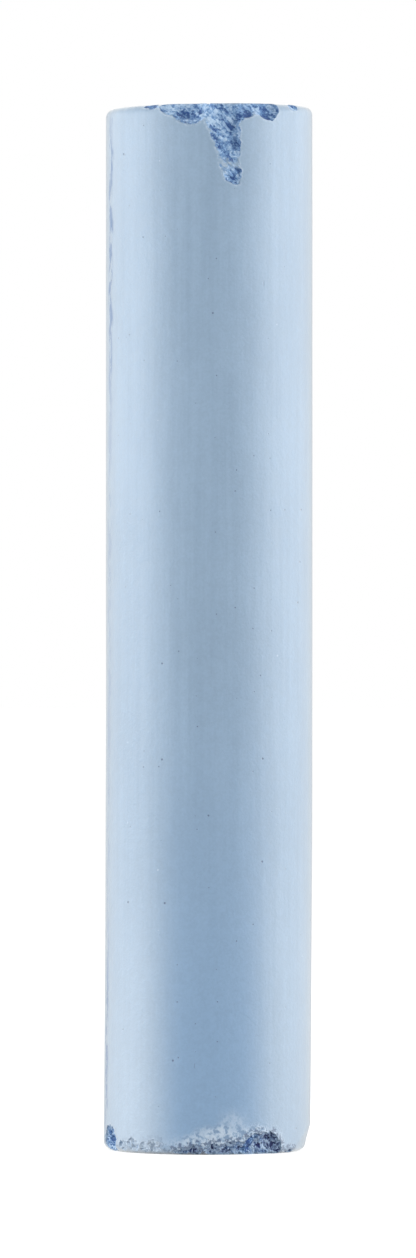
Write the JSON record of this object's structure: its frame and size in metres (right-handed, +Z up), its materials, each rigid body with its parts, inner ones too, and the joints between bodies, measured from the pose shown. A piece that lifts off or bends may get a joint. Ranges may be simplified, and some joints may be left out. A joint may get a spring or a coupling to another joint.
{
  "type": "soft pastel stick",
  "caption": "Round pale-blue soft pastel stick standing on its end, with broken, crumbly rims that show the stronger blue inside.",
  "frame": {"origin": "on the surface the stick stands on, under the middle of the stick", "axes": "+Z up the stick from foot to head; -Y towards the side where the rims are broken; +X to the right of that side"},
  "size_m": [0.013, 0.0128, 0.0646],
  "materials": {
    "pastel": "matte"
  },
  "bodies": {
    "root": {"pastel_stick": "pastel"}
  },
  "joints": []
}
